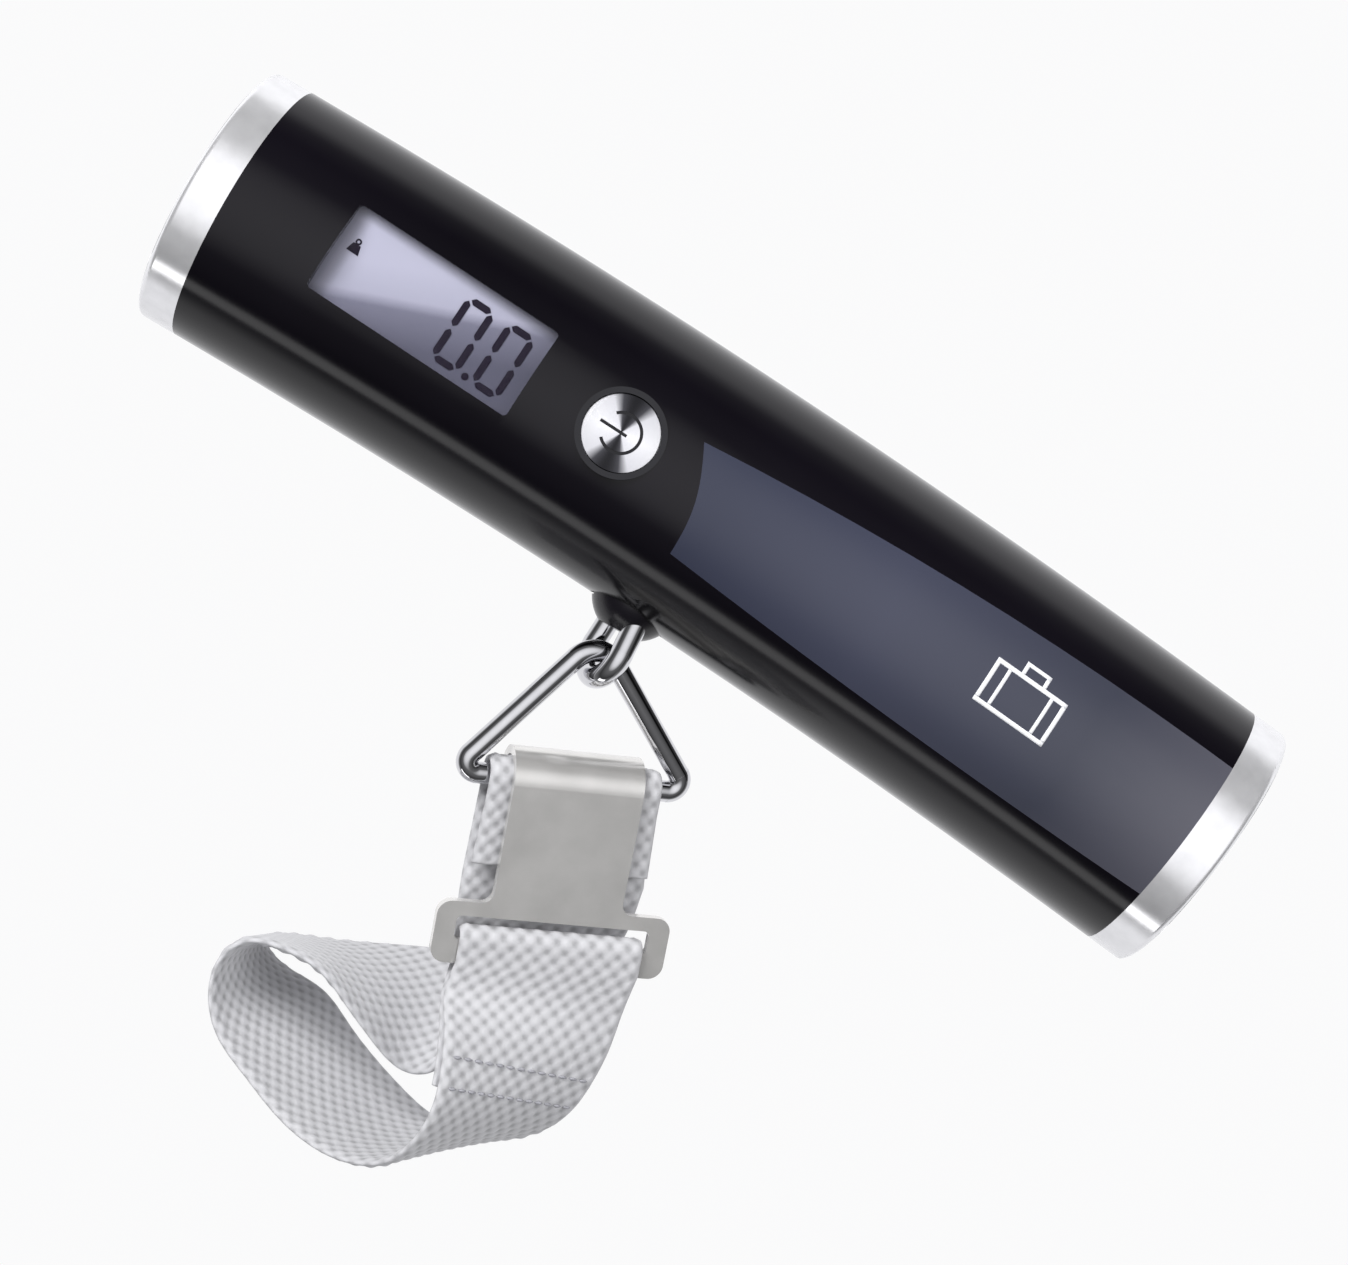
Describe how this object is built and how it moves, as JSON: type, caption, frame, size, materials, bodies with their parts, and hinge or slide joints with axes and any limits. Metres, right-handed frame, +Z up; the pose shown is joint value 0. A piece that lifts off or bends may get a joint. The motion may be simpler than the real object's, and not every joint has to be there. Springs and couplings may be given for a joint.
{
  "type": "digital luggage scale",
  "caption": "Arched tube handle with a display and power button, and a swivelling link, triangular ring, hook buckle and webbing loop that hangs a bag to be weighed.",
  "frame": {"origin": "centre of the tube handle at the middle of its length", "axes": "+X along the handle away from the display end, -Y faces the reader of the display, +Z up, away from the strap"},
  "size_m": [0.161, 0.0534, 0.12],
  "materials": {
    "shell_black": "gloss",
    "cap_chrome": "polished",
    "panel_slate": "satin",
    "window_clear": "gloss",
    "lcd_grey": "gloss",
    "lcd_ink": "matte",
    "diffuser_white": "satin",
    "zebra_rubber": "matte",
    "frame_white": "satin",
    "board_green": "satin",
    "chip_black": "satin",
    "component_grey": "satin",
    "screw_steel": "satin",
    "bezel_black": "gloss",
    "button_spun": "spun",
    "mark_black": "matte",
    "switch_dark": "satin",
    "cell_aluminium": "milled",
    "gauge_amber": "satin",
    "plate_steel": "satin",
    "lead_red": "satin",
    "lead_black": "satin",
    "bush_black": "satin",
    "washer_brass": "satin",
    "stem_steel": "satin",
    "ball_black": "gloss",
    "link_chrome": "polished",
    "ring_chrome": "polished",
    "buckle_nickel": "polished",
    "webbing_grey": "woven",
    "tray_black": "satin",
    "battery_steel": "satin",
    "contact_gold": "satin",
    "door_black": "gloss"
  },
  "bodies": {
    "handle": {"front_shell": "shell_black", "rear_shell": "shell_black", "display_end_cap": "cap_chrome", "grip_end_cap": "cap_chrome", "grip_panel": "panel_slate", "display_window": "window_clear", "lcd_glass": "lcd_grey", "lcd_segments": "lcd_ink", "backlight_plate": "diffuser_white", "lcd_contact_strip": "zebra_rubber", "display_frame": "frame_white", "circuit_board": "board_green", "controller_chip": "chip_black", "board_components": "component_grey", "board_screws": "screw_steel", "button_bezel": "bezel_black", "switch_body": "switch_dark", "load_cell": "cell_aluminium", "strain_gauges": "gauge_amber", "load_plate": "plate_steel", "load_screws": "screw_steel", "gauge_leads": "lead_red", "swivel_bush": "bush_black", "thrust_washer": "washer_brass", "battery_tray": "tray_black", "coin_cell": "battery_steel", "negative_contact": "contact_gold", "positive_contact": "contact_gold", "battery_leads": "lead_black", "case_screws": "screw_steel"},
    "button": {"button_cap": "button_spun", "power_mark": "mark_black", "switch_plunger": "switch_dark"},
    "stem": {"swivel_stem": "stem_steel", "stem_nut": "stem_steel"},
    "head": {"ball_head": "ball_black", "swivel_pin": "stem_steel", "link": "link_chrome"},
    "ring": {"triangle_ring": "ring_chrome"},
    "strap": {"hook_buckle": "buckle_nickel", "webbing_strap": "webbing_grey"},
    "door": {"battery_door": "door_black"}
  },
  "joints": [
    {"name": "button_press", "type": "slide", "parent": "handle", "child": "button", "axis": [0, 1, 0], "range_m": [0, 0.0005], "stiffness_N_per_m": 400, "springref_m": -0.001},
    {"name": "stem_swivel", "type": "hinge", "parent": "handle", "child": "stem", "pos_m": [-0.00215, 0, -0.0156], "axis": [0, 0, 1], "continuous": true},
    {"name": "link_tilt", "type": "hinge", "parent": "stem", "child": "head", "pos_m": [-0.00215, 0, -0.0156], "axis": [0, 1, 0], "range_deg": [-14, 20]},
    {"name": "ring_swing", "type": "hinge", "parent": "head", "child": "ring", "pos_m": [-0.00129, 0, -0.02782], "axis": [-0.3703, 0.9205, 0.1246], "range_deg": [-15, 30]},
    {"name": "strap_swing", "type": "hinge", "parent": "ring", "child": "strap", "pos_m": [0.00424, 0.00403, -0.04116], "axis": [0.8524, 0.2834, 0.4394], "range_deg": [-20, 15]},
    {"name": "battery_door_open", "type": "hinge", "parent": "handle", "child": "door", "pos_m": [-0.04999, 0.0185, -0.00082], "axis": [-0.0257, 0, 0.9997], "range_deg": [0, 70]}
  ]
}
